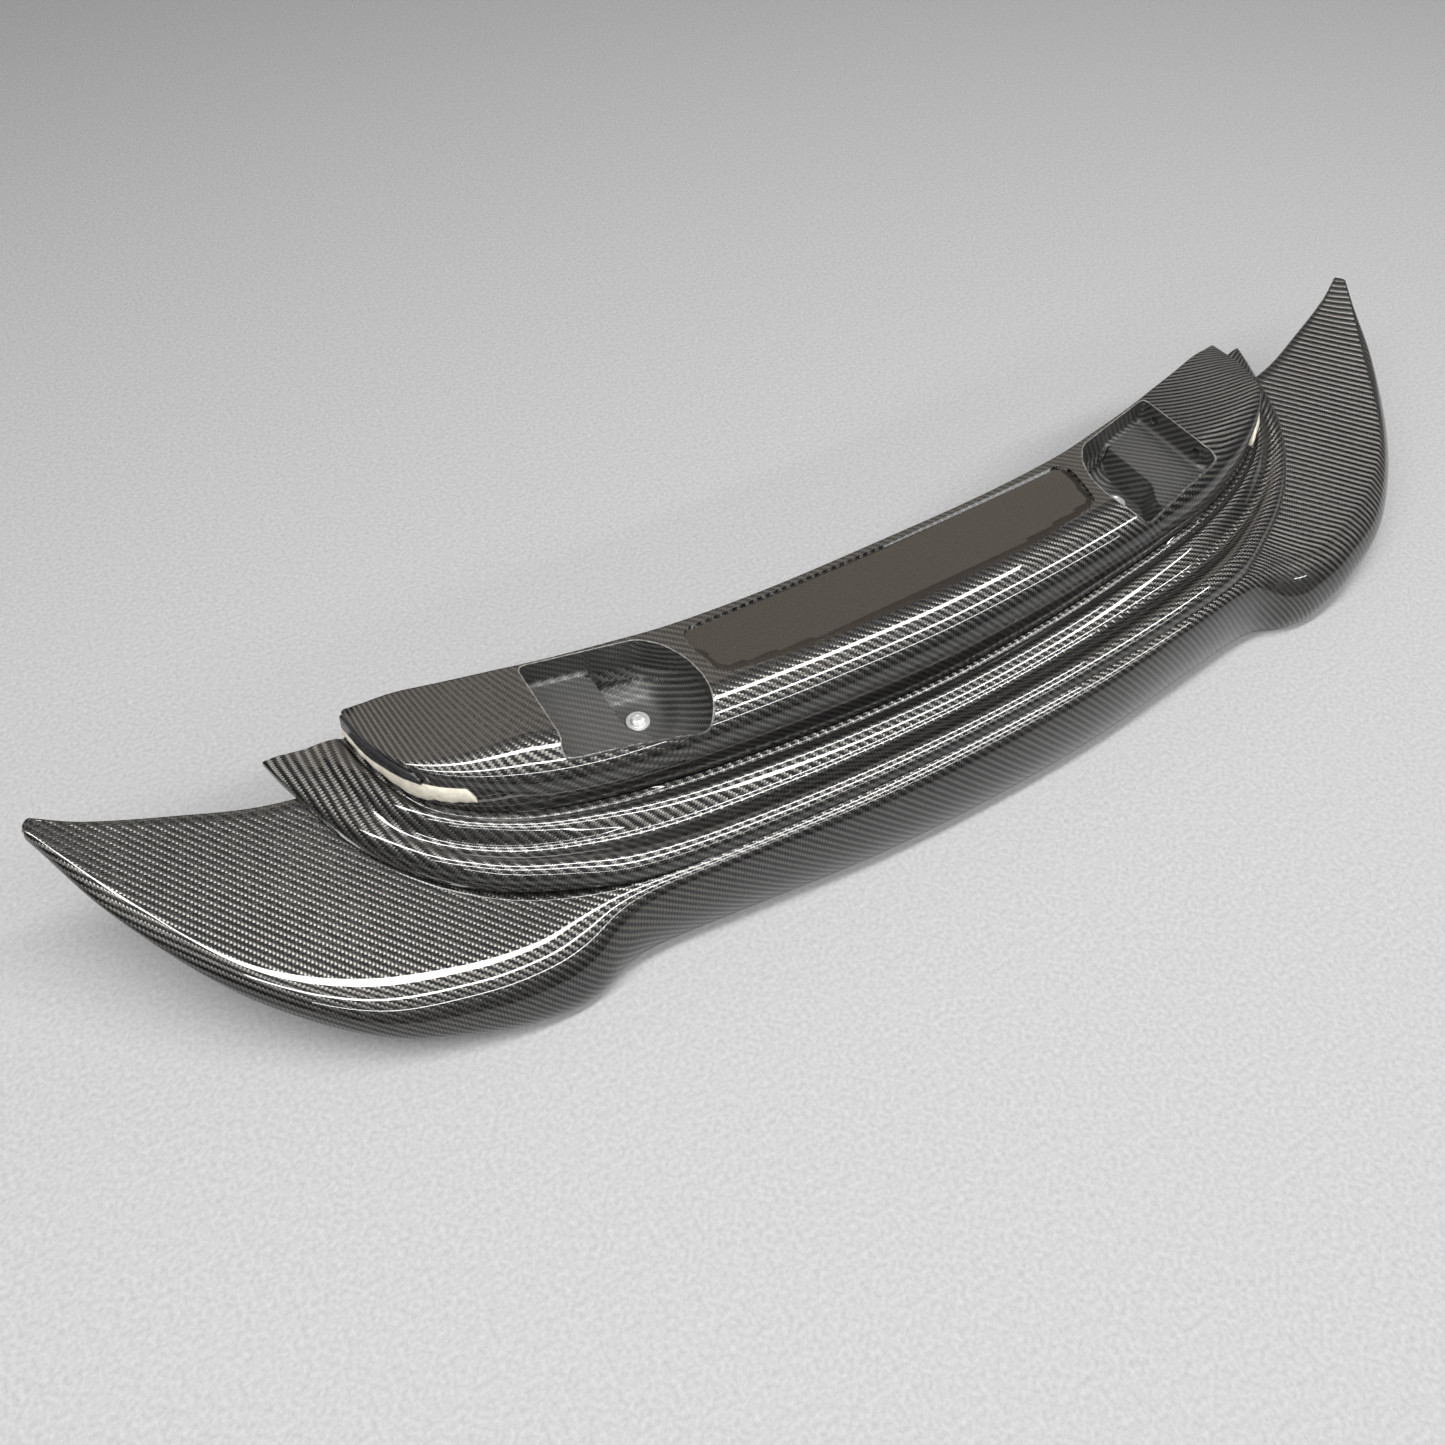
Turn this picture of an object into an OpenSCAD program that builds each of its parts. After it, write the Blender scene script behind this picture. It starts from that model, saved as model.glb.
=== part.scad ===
// Carbon-fibre rear wing of a road-going sports car, lying with its mounting side up.
// X runs along the span, +Y points to the edge that meets the car, and +Z is up.
// The origin is at the middle of the footprint, on the surface that the wing lies on.

/* [Wing] */
// Span from tip to tip
span = 1420; // [1360:10:1480]
// Thickness of the carbon laminates
skin_t = 2.5; // [2:0.5:3]
// Height of the blade's thin back edge
edge_h = 9; // [8:0.5:11]

/* [Mounting tub] */
// Height of the tub's flat top above the ground
tub_top = 160; // [156:1:164]
// Height of the well's shelf above the ground
shelf_z = 135; // [130:1:140]
// Height of the pocket's floor above the ground
pocket_z = 106; // [104:1:110]
// Depth of the centre panel's recess
panel_recess = 2; // [1:0.5:3]

/* [Fixings] */
// Diameter of the holes in each well's outboard wall
side_hole_d = 8.5; // [6:0.1:10]
// Distance between the two side holes
side_hole_pitch = 55; // [40:1:60]
// Diameter of the pocket bolt's thread
bolt_d = 6; // [5:0.5:8]
// Outer diameter of the pocket bolt's washer
washer_d = 20; // [16:1:22]

/* [Hidden] */

carbon = [0.10, 0.10, 0.10];
matt_carbon = [0.17, 0.17, 0.17];
wide = span / 1420;      // spanwise scale of every line below
mid_y = 126.9;           // the lines below are laid out from the rim's notch
steps = 3;               // samples between two neighbouring control points
clear = 0.4;             // glue gap between neighbouring pieces

// Control points of the wing's main lines, from the middle to the right tip.
rim = [[0, -27, 4], [120, -23, 4], [240, -10, 4], [315, -2, 4], [348, -4, 4], [376, -14, 4],
    [410, -16, 6], [465, -5, 14], [540, 27, 31], [615, 94, 60], [675, 184, 96], [710, 266, 121]];
crease = [[0, -5, 80], [120, -3, 80], [240, 6, 80], [310, 17, 77], [343, 23, 72], [374, 24, 67],
    [410, 21, 64], [465, 30, 63], [538, 57, 65], [604, 108, 77], [662, 194, 102], [706, 269, 129]];
back = [[0, 178, 86], [110, 179, 86], [220, 184, 87], [300, 190, 88], [335, 193, 89], [368, 196, 90],
    [405, 201, 91], [460, 208, 95], [545, 220, 101], [610, 241, 109], [668, 262, 119],
    [700, 277, 129]];
seam = [[0, -4, 82], [120, -1, 82], [240, 8, 84], [315, 20, 85], [368, 42, 83], [420, 71, 83],
    [465, 110, 87], [500, 159, 96], [525, 221, 106], [535, 254, 111]];
foot = [[0, 60, 88], [110, 64, 90], [200, 71, 95], [260, 77, 100], [315, 85, 106], [365, 99, 110],
    [410, 120, 116], [440, 146, 121], [460, 190, 125], [469, 236, 122]];
tub_front = [[0, 55, 0], [110, 59, 0], [200, 66, 0], [260, 73, 0], [315, 83, 0], [365, 100, 0],
    [410, 123, 0], [441, 150, 0], [460, 192, -5], [467, 236, -10]];
tub_back = [[0, 170, 0], [110, 171, 0], [200, 177, 0], [260, 187, 0], [310, 197, 0], [350, 207, 0],
    [390, 217, 0], [425, 227, -1], [450, 233, -5], [465, 239, -10]];

// Edge between the right well's shelf and its pocket, hollowed out round the bolt.
shelf_line = [[278, 240], [278, 122], [275, 114], [270, 107], [266, 98], [265, 60]];

// Outline of the right well's opening, seen from above.
well = [[333, 103], [228, 75], [218, 84], [211, 100], [209, 118], [212, 140], [221, 161],
    [236, 177], [333, 200]];
scoop_x = 266;           // middle of the pocket's scooped inboard wall
pocket_r = 60;           // radius of the pocket's scooped inboard wall
bolt_xy = [258, 140];    // centre of the pocket bolt
hole_y = 152;            // middle of the two side holes
hole_z = 147;            // height of the side holes
plate_t = 4;             // thickness of the aluminium plates
washer_t = 1.6;          // thickness of the washer
head_h = 4.5;            // height of the bolt's head
end_wall = 37;           // the tub's edge is tight where its wall is lower than this
seal_top = 153;          // upper edge of the edge seal

// Heights along the span of the seal's lower edge and of the adhesive's lower edge.
seal_base = [[405, 142.5], [441, 143], [455, 139], [469, 131]];
bead_base = [[405, 128], [432, 127], [444, 123], [469, 123]];

// --- lines and grids ---------------------------------------------------------

function blend(a, b, c, d, t) =
    0.5 * (2 * b + (c - a) * t + (2 * a - 5 * b + 4 * c - d) * t * t
    + (3 * b - a - 3 * c + d) * t * t * t);

function flip(p) = [-p.x, p.y, p.z];

// Smooth line through the control points, from the middle to the tip.
function half_line(p) =
    let (last = len(p) - 1, q = concat([flip(p[1])], p, [2 * p[last] - p[last - 1]]))
    concat([for (i = [1:last]) for (k = [0:steps - 1])
        blend(q[i - 1], q[i], q[i + 1], q[i + 2], k / steps)], [p[last]]);

// The same line from the left tip to the right tip.
function line(p) =
    let (h = [for (q = half_line(p)) [q.x * wide, q.y - mid_y, q.z]])
    concat([for (i = [len(h) - 1:-1:1]) flip(h[i])], h);

function bezier(a, b, c, d, t) =
    a * pow(1 - t, 3) + 3 * b * t * pow(1 - t, 2) + 3 * c * t * t * (1 - t) + d * t * t * t;

function unit(v) = v / max(norm(v), 0.001);

// Moves every point of a grid along the surface's own normal.
function offset_grid(g, d, taper = 1) =
    let (n = len(g) - 1, m = len(g[0]) - 1)
    [for (i = [0:n]) let (fade = min(1, taper + min(i, n - i) / 6)) [for (j = [0:m])
        let (u = g[min(i + 1, n)][j] - g[max(i - 1, 0)][j],
            v = g[i][min(j + 1, m)] - g[i][max(j - 1, 0)])
        g[i][j] + unit(cross(u, v)) * d * fade]];

// Closed solid between two grids that match point for point.
module sheet(top, low) {
    n = len(top);
    m = len(top[0]);
    low0 = n * m;
    points = concat([for (r = top) each r], [for (r = low) each r]);
    faces = concat(
        [for (i = [0:n - 2]) for (j = [0:m - 2]) let (a = i * m + j)
            each [[a, a + 1, a + m + 1], [a, a + m + 1, a + m]]],
        [for (i = [0:n - 2]) for (j = [0:m - 2]) let (a = low0 + i * m + j)
            each [[a, a + m + 1, a + 1], [a, a + m, a + m + 1]]],
        [for (i = [0:n - 2]) for (e = [0, m - 1]) let (a = i * m + e, s = e == 0)
            each [s ? [a, a + m, low0 + a + m] : [a, low0 + a + m, a + m],
                s ? [a, low0 + a + m, low0 + a] : [a, low0 + a, low0 + a + m]]],
        [for (j = [0:m - 2]) for (e = [0, n - 1]) let (a = e * m + j, s = e == 0)
            each [s ? [a, low0 + a + 1, a + 1] : [a, a + 1, low0 + a + 1],
                s ? [a, low0 + a, low0 + a + 1] : [a, low0 + a + 1, low0 + a]]]);
    polyhedron(points, faces, convexity = 6);
}

// Left-hand pieces are the right-hand ones mirrored.
module side(s) {
    scale([wide, 1, 1]) translate([0, -mid_y, 0]) if (s < 0) mirror([1, 0, 0]) children();
        else children();
}

// --- blade -------------------------------------------------------------------

rim_line = line(rim);
crease_line = line(crease);
back_line = line(back);

// Lowest point of the rounded rim, where the two skins meet.
function rim_base(i) = let (p = rim_line[i]) [p.x, p.y + 13, max(0, p.z - 5)];

// Visible face of one station: round rim, then the top to the back edge.
function face_row(i) =
    let (a = rim_base(i), p = rim_line[i], c = crease_line[i], b = back_line[i],
        reach = (p.y - c.y) * 0.95, slope = (b - c) / norm(b - c))
    concat(
        [for (k = [0:8]) bezier(a, [p.x, p.y - 7, a.z], c + slope * reach + [0, 0, reach * 0.12],
            c, k / 8)],
        [for (k = [1:5]) c + (b - c) * (k / 5)],
        [b + [0, 1.5, -edge_h / 2]]);

// How far back the flat underside reaches, as a share of the chord.
function flat_share(x) = 0.82 * max(0, 1 - pow(abs(x) / (430 * wide), 4));

// Height of the underside at a share v of the chord.
function belly_z(i, v) =
    let (a = rim_base(i), b = back_line[i], f = flat_share(a.x), r = max(0, (v - f) / (1 - f)))
    a.z + (b.z - edge_h - a.z) * pow(r, 1.45);

function belly_row(i) =
    let (a = rim_base(i), b = back_line[i])
    [for (k = [0:12]) let (v = 1 - pow(1 - k / 12, 1.5))
        [a.x + (b.x - a.x) * v, a.y + (b.y - a.y) * v, belly_z(i, v)]];

stations = [0:len(rim_line) - 1];
face_grid = [for (i = stations) face_row(i)];
belly_grid = [for (i = stations) belly_row(i)];

module blade_inner_skin() {
    color(carbon) sheet(face_grid, offset_grid(face_grid, -skin_t, 0.3));
}

module blade_outer_skin() {
    color(carbon) sheet(offset_grid(belly_grid, skin_t, 0.3), belly_grid);
}

// --- hidden structure of the blade -------------------------------------------

// Sections of a foam core between the skins, inside the span x0 to x1.
function core_rows(x0, x1, top) =
    [for (i = stations) let (c = crease_line[i], b = back_line[i], a = rim_base(i))
        if (c.x >= x0 && c.x <= x1)
            [for (f = [0.10, 0.35, 0.60, 0.85])
                let (y = c.y + (b.y - c.y) * f, v = (y - a.y) / (b.y - a.y),
                    z_top = c.z + (b.z - c.z) * f - skin_t - 2,
                    z_low = belly_z(i, v) + skin_t + 2)
                [c.x, y, top ? z_top : min(z_low, z_top - 2)]]];

module foam_core(x0, x1) {
    color("khaki") sheet(core_rows(x0, x1, true), core_rows(x0, x1, false));
}

module centre_foam_core() foam_core(-345 * wide, 345 * wide);
module left_lobe_core() foam_core(-640 * wide, -365 * wide);
module right_lobe_core() foam_core(365 * wide, 640 * wide);

// Plywood rib that closes the centre core on each side.
module rib(s) {
    side(s) color("tan") translate([350, 0, 0]) rotate([90, 0, 90])
        linear_extrude(6) polygon([[30, 12], [92, 12], [140, 34], [172, 62], [172, 80], [40, 66]]);
}

module left_rib() rib(-1);
module right_rib() rib(1);

// --- stepped fairing ---------------------------------------------------------

seam_line = line(seam);
foot_line = line(foot);

// Share of the way from seam to foot, and height above that line: a round nose,
// a broad groove, a second ridge and a narrow groove at the tub's foot.
step_shape = [[0, -5], [0.005, 0], [0.03, 5], [0.09, 8.5], [0.18, 10], [0.30, 7], [0.42, 1.5],
    [0.52, 0.5], [0.62, 4], [0.72, 6.5], [0.81, 5], [0.89, 0], [0.94, -2], [1, 0]];

// The steps fade out towards the fairing's swept tips.
function step_fade(x) = 1 - 0.8 * pow(min(1, max(0, abs(x) / wide - 440) / 90), 1.5);

function step_row(i) =
    let (s = seam_line[i], f = foot_line[i], k = step_fade(s.x))
    [for (q = step_shape) s + (f - s) * q[0] + [0, 0, q[1] * (q[1] > 0 ? k : 1)]];

fairing_grid = [for (i = [0:len(seam_line) - 1]) step_row(i)];

module step_fairing() {
    color(carbon) sheet(fairing_grid, offset_grid(fairing_grid, -skin_t * 0.8, 0.5));
}

// --- mounting tub ------------------------------------------------------------

function lift(p) = [for (q = p) [q.x, q.y, q.z + tub_top]];

wall_line = line(lift(tub_front));
rear_line = line(lift(tub_back));

function tub_row(i) =
    let (f = foot_line[i], w = wall_line[i], r = rear_line[i], h = w.z - f.z, d = r.y - w.y,
        turn = min(34, d * 0.4, max(2, (h - end_wall) * 2.5)),
        base = [r.x, r.y + 2, min(f.z + 2, 100)],
        in = unit([r.x - w.x, r.y - w.y, 0]))
    concat([f + [0, 0.6, 1]],
        [for (k = [0:7]) bezier(w + [0, 0, -turn], w + [0, 0, -turn * 0.45],
            w + in * turn * 0.5 + [0, 0, -0.5], w + in * turn * 1.1, k / 7)],
        [for (k = [1:2]) let (q = w + in * turn * 1.1) q + (r - q) * (k / 3)],
        [r + [0, -1.5, 0], r + [0, 0.5, -2], base]);

tub_grid = [for (i = [0:len(foot_line) - 1]) tub_row(i)];

// Outline grown outwards by g, for points listed clockwise.
function grown(p, g) =
    let (n = len(p))
    [for (i = [0:n - 1]) let (u = unit(p[i] - p[(i + n - 1) % n]), v = unit(p[(i + 1) % n] - p[i]),
        a = [-u.y, u.x], m = unit(a + [-v.y, v.x]))
        p[i] + m * g / (m * a)];

// Half outline of the centre panel, clockwise from the middle of its front edge.
panel_half = [[0, 93], [-115, 97], [-186, 107], [-196, 113], [-203, 146], [-203, 160],
    [-196, 167], [-115, 165], [0, 163]];
panel_plan = concat(panel_half, [for (i = [len(panel_half) - 2:-1:1]) flip_2d(panel_half[i])]);

function flip_2d(p) = [-p.x, p.y];

module mounting_tub() {
    color(carbon) difference() {
        sheet(tub_grid, offset_grid(tub_grid, -skin_t, 0.35));
        for (s = [-1, 1]) side(s) translate([0, 0, shelf_z - 5]) linear_extrude(60) polygon(well);
        side(1) translate([0, 0, tub_top - 10]) linear_extrude(20) polygon(panel_plan);
    }
}

// Glossy panel bonded under the window in the tub's top.
module centre_panel() {
    under = tub_top - skin_t - clear;
    color([0.14, 0.12, 0.09]) side(1) {
        translate([0, 0, under - 2]) linear_extrude(2) polygon(grown(panel_plan, 3));
        translate([0, 0, under - 1]) linear_extrude(tub_top - panel_recess - under + 1)
            polygon(grown(panel_plan, -clear));
    }
}

// Space on the shelf's side of its edge, moved outboard by shift, and on the pocket's side.
module outboard(shift, high) {
    translate([shift, 0, 0]) linear_extrude(high)
        polygon(concat([[400, 60], [400, 240]], shelf_line));
}

module inboard() {
    linear_extrude(200) polygon(concat([[150, 60], [150, 240]], shelf_line));
}

// Everything under the tub's top near the well, where the liner may reach.
module liner_space() {
    under = tub_top - skin_t - clear;
    translate([well[1].x, well[1].y - 5.5, 0]) rotate([0, 0, 10]) rotate([90, 0, 90])
        translate([0, 0, -60]) linear_extrude(240)
            polygon([[3, 80], [3, under - 26], [5.5, under - 17.5], [10, under - 10.5],
                [15, under - 6], [22, under - 2.5], [32, under], [180, under], [180, 80]]);
}

// Moulded tray with a shelf outboard and a deeper scooped pocket inboard.
module well_liner(s) {
    wall = grown(well, skin_t);
    color(matt_carbon) side(s) difference() {
        intersection() {
            translate([0, 0, pocket_z - skin_t]) linear_extrude(100) polygon(wall);
            liner_space();
        }
        intersection() {
            translate([0, 0, shelf_z]) linear_extrude(100) polygon(well);
            outboard(-1, 300);
        }
        intersection() {
            translate([0, 0, pocket_z]) linear_extrude(100) polygon(well);
            inboard();
            translate([scoop_x, 0, pocket_z + pocket_r]) rotate([-90, 0, 0])
                cylinder(h = 400, r = pocket_r, $fn = 96);
        }
        outboard(skin_t, shelf_z - skin_t);
        translate([bolt_xy.x, bolt_xy.y, pocket_z]) cylinder(h = 10, d = washer_d + 2, $fn = 48);
        translate([bolt_xy.x, bolt_xy.y, 0]) cylinder(h = 200, d = bolt_d + 0.4, $fn = 32);
        side_holes();
    }
}

module side_holes() {
    for (k = [-0.5, 0.5]) translate([320, hole_y + k * side_hole_pitch, hole_z])
        rotate([0, 90, 0]) cylinder(h = 40, d = side_hole_d, $fn = 32);
}

module left_well_liner() well_liner(-1);
module right_well_liner() well_liner(1);

// --- plates and fasteners ----------------------------------------------------

// Drilled plate behind the well's outboard wall.
module side_plate(s) {
    color("silver") side(s) difference() {
        translate([well[0].x + skin_t + clear, hole_y - 38, hole_z - 9]) cube([plate_t, 76, 15]);
        side_holes();
    }
}

// Plate under the pocket's floor that takes the bolt.
module floor_plate(s) {
    color("silver") side(s) difference() {
        translate([bolt_xy.x - 20, bolt_xy.y - 24, pocket_z - skin_t - clear - plate_t])
            cube([38, 48, plate_t]);
        translate([bolt_xy.x, bolt_xy.y, 0]) cylinder(h = 200, d = bolt_d + 0.4, $fn = 32);
    }
}

module pocket_bolt(s) {
    color("gainsboro") side(s) translate([bolt_xy.x, bolt_xy.y, pocket_z + washer_t]) {
        translate([0, 0, -14]) cylinder(h = 14, d = bolt_d, $fn = 32);
        cylinder(h = 1.2, d = bolt_d * 2.1, $fn = 48);
        rotate([0, 0, 20]) cylinder(h = head_h, d = bolt_d * 1.92, $fn = 6);
    }
}

module bolt_washer(s) {
    color("gainsboro") side(s) translate([bolt_xy.x, bolt_xy.y, pocket_z]) difference() {
        cylinder(h = washer_t, d = washer_d, $fn = 64);
        translate([0, 0, -1]) cylinder(h = 10, d = bolt_d + 0.4, $fn = 32);
    }
}

module left_side_plate() side_plate(-1);
module right_side_plate() side_plate(1);
module left_floor_plate() floor_plate(-1);
module right_floor_plate() floor_plate(1);
module left_pocket_bolt() pocket_bolt(-1);
module right_pocket_bolt() pocket_bolt(1);
module left_bolt_washer() bolt_washer(-1);
module right_bolt_washer() bolt_washer(1);

// --- edge seals and bonding beads --------------------------------------------

// Stations of the tub's right-hand end, from span x0 to its tip.
function end_stations(x0) = [for (i = [0:len(foot_line) - 1]) if (foot_line[i].x >= x0 * wide) i];

// Point at height z on the tub's outer wall at one station.
function wall_point(i, z) =
    let (r = [for (k = [0:7]) tub_grid[i][k]])
    [lookup(z, [for (q = r) [q.z, q.x]]), lookup(z, [for (q = r) [q.z, q.y]]), z];

// Strip of the tub's wall at station i, between the heights a and b.
function wall_row(i, a, b) = [for (k = [0:3]) wall_point(i, a + (b - a) * k / 3)];

function at_foot(i, heights) = lookup(foot_line[i].x / wide, heights);

seal_grid = [for (i = end_stations(436))
    wall_row(i, at_foot(i, seal_base), min(seal_top, wall_line[i].z - 2))];
bead_grid = [for (i = end_stations(405))
    wall_row(i, max(foot_line[i].z + 1.2, at_foot(i, bead_base)), at_foot(i, seal_base) - clear)];

module strip(s, grid, thick) {
    if (s < 0) mirror([1, 0, 0]) strip(1, grid, thick);
    else sheet(offset_grid(grid, thick), offset_grid(grid, clear));
}

module edge_seal(s) {
    color([0.03, 0.03, 0.03]) strip(s, seal_grid, 2.2);
}

module bond_bead(s) {
    color([0.75, 0.70, 0.58]) strip(s, bead_grid, 2.6);
}

module left_edge_seal() edge_seal(-1);
module right_edge_seal() edge_seal(1);
module left_bond_bead() bond_bead(-1);
module right_bond_bead() bond_bead(1);

blade_outer_skin();
blade_inner_skin();
step_fairing();
mounting_tub();
centre_panel();
left_well_liner();
right_well_liner();
left_edge_seal();
right_edge_seal();
left_bond_bead();
right_bond_bead();
centre_foam_core();
left_lobe_core();
right_lobe_core();
left_rib();
right_rib();
left_side_plate();
right_side_plate();
left_floor_plate();
right_floor_plate();
left_pocket_bolt();
right_pocket_bolt();
left_bolt_washer();
right_bolt_washer();
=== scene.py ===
"""Looks of a carbon-fibre rear wing that lies on a pale floor with its mounting side up.

The shells are rebuilt at high resolution from the lines that shape the CAD model. Lines are in
millimetres, with y counted from the notch in the blade's rim, and the frame gives their scale.
"""

import math

import bmesh
import bpy
import numpy as np
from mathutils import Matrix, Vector
from mathutils.bvhtree import BVHTree
from mathutils.geometry import delaunay_2d_cdt
from mathutils.kdtree import KDTree

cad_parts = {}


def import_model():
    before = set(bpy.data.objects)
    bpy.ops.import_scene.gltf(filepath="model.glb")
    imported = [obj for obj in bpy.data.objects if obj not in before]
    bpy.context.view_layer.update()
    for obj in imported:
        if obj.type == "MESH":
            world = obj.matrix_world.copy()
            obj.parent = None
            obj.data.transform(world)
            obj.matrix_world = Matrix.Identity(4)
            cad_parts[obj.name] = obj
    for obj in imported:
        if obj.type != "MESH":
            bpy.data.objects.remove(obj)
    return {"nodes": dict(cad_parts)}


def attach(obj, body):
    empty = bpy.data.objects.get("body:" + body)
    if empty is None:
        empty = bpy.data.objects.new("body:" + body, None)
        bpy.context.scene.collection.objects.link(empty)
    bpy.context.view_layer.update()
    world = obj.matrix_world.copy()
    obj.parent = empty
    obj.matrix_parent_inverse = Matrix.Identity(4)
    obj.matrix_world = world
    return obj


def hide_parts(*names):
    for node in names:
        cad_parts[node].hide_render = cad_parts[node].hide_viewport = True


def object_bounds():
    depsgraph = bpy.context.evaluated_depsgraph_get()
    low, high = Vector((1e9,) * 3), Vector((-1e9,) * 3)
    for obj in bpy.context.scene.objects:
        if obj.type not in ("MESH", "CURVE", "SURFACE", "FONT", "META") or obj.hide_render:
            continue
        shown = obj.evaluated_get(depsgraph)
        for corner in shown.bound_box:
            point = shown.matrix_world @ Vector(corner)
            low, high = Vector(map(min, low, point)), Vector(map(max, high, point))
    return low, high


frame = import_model()
CAD_BOX = [list(corner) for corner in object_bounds()]

# --- sizes --------------------------------------------------------------------------------

MM = 0.001
DRAWN_SPAN = 1.42
WIDE = (CAD_BOX[1][0] - CAD_BOX[0][0]) / DRAWN_SPAN
RIM_NOTCH_Y = -0.1269  # y of the lines' zero in the frame
TUB_TOP = 160
SHELF_Z = 135
POCKET_Z = 106
RECESS = 2.2
PANEL_THICK = 1.2
SKIN = 2.5
LINER_SKIN = 1.8
EDGE_H = 9
END_WALL = 37
SEAL_FROM = 437
SEAL_TOP = 153
SEAL_BASE = ((405, 441, 455, 469), (142.5, 143, 139, 131))
BEAD_FROM = 406
BEAD_BASE = ((405, 432, 444, 469), (128, 127, 123, 123))
BOLT = (258, 140)
SHELF_EDGE = 278
WASHER_H = 1.6
POCKET_R = 60
HOLE_R = 4.25
HOLE_Y = (124.5, 179.5)
HOLE_Z = 147
CLEAR = 20  # how far above the tub the cutters end
CLOTH_TURNS = 250  # x from which the cloth turns with the swept ends
BLADE_STEP, FAIRING_STEP, TUB_STEP, STRIP_STEP = 6, 5, 3, 1.5  # spacing of the grids' rows
TUB_TOP_ROWS = 34
TOW, FINE_TOW = 0.002, 0.0016  # widths of the tows, in metres

# --- control points, from the middle to the right tip -------------------------------------

RIM = [(0, -27, 4), (120, -23, 4), (240, -10, 4), (315, -2, 4), (348, -4, 4), (376, -14, 4),
       (410, -16, 6), (465, -5, 14), (540, 27, 31), (615, 94, 60), (675, 184, 96), (710, 266, 121)]
CREASE = [(0, -5, 80), (120, -3, 80), (240, 6, 80), (310, 17, 77), (343, 23, 72), (374, 24, 67),
          (410, 21, 64), (465, 30, 63), (538, 57, 65), (604, 108, 77), (662, 194, 102),
          (706, 269, 129)]
BACK = [(0, 178, 86), (110, 179, 86), (220, 184, 87), (300, 190, 88), (335, 193, 89),
        (368, 196, 90), (405, 201, 91), (460, 208, 95), (545, 220, 101), (610, 241, 109),
        (668, 262, 119), (700, 277, 129)]
SEAM = [(0, -4, 82), (120, -1, 82), (240, 8, 84), (315, 20, 85), (368, 42, 83), (420, 71, 83),
        (465, 110, 87), (500, 159, 96), (525, 221, 106), (535, 254, 111)]
FOOT = [(0, 60, 88), (110, 64, 90), (200, 71, 95), (260, 77, 100), (315, 85, 106),
        (365, 99, 110), (410, 120, 116), (440, 146, 121), (460, 190, 125), (469, 236, 122)]
TUB_FRONT = [(0, 55, 0), (110, 59, 0), (200, 66, 0), (260, 73, 0), (315, 83, 0), (365, 100, 0),
             (410, 123, 0), (441, 150, 0), (460, 192, -5), (467, 236, -10)]
TUB_BACK = [(0, 170, 0), (110, 171, 0), (200, 177, 0), (260, 187, 0), (310, 197, 0),
            (350, 207, 0), (390, 217, 0), (425, 227, -1), (450, 233, -5), (465, 239, -10)]
STEPS = [(0, -5), (0.005, 0), (0.03, 5), (0.09, 8.5), (0.18, 10), (0.30, 7), (0.42, 1.5),
         (0.52, 0.5), (0.62, 4), (0.72, 6.5), (0.81, 5), (0.89, 0), (0.94, -2), (1, 0)]
WELL = [(333, 118), (337, 112), (337, 104), (328, 100), (228, 75), (218, 84), (211, 100),
        (209, 118), (212, 140), (221, 161), (236, 177), (333, 200)]
PANEL = [(0, 93), (-115, 97), (-186, 107), (-196, 113), (-203, 146), (-203, 160), (-196, 167),
         (-115, 165), (0, 163), (115, 165), (196, 167), (203, 160), (203, 146), (196, 113),
         (186, 107), (115, 97)]

# --- curves and grids ---------------------------------------------------------------------


def samples(points, step):
    """Parameters along a line of control points, about one for each step."""
    out = []
    for i, (a, b) in enumerate(zip(points, points[1:])):
        count = max(2, round(math.dist(a, b) / step))
        out += [i + k / count for k in range(count)]
    return out + [len(points) - 1]


def catmull(p, t):
    """Point at parameter t on the smooth line through the rows of p, which has one spare row
    at each end."""
    i = min(int(t), len(p) - 4)
    u = t - i
    a, b, c, d = p[i:i + 4]
    return 0.5 * (2 * b + (c - a) * u + (2 * a - 5 * b + 4 * c - d) * u * u
                  + (3 * b - a - 3 * c + d) * u ** 3)


def half_line(points, ts):
    p = np.array(points, float)
    first = p[1] * (-1, 1, 1)
    p = np.vstack([first, p, 2 * p[-1] - p[-2]])
    return np.array([catmull(p, t) for t in ts])


def span_line(points, ts):
    """Smooth line from the left tip to the right tip."""
    half = half_line(points, ts)
    return np.vstack([half[:0:-1] * (-1, 1, 1), half])


def smooth_profile(points, per):
    """Smooth open curve through points in the plane."""
    p = np.array(points, float)
    p = np.vstack([2 * p[0] - p[1], p, 2 * p[-1] - p[-2]])
    count = (len(points) - 1) * per
    return np.array([catmull(p, k / per) for k in range(count + 1)])


def bezier(a, b, c, d, t):
    return a * (1 - t) ** 3 + 3 * b * t * (1 - t) ** 2 + 3 * c * t * t * (1 - t) + d * t ** 3


def smooth(x):
    x = np.clip(x, 0, 1)
    return x * x * (3 - 2 * x)


def row_normals(line):
    """Horizontal unit vectors that point forwards, square to a line that runs along +X."""
    t = np.gradient(line, axis=0)
    n = np.stack([t[:, 1], -t[:, 0]], 1)
    return n / np.linalg.norm(n, axis=1, keepdims=True)


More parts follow.
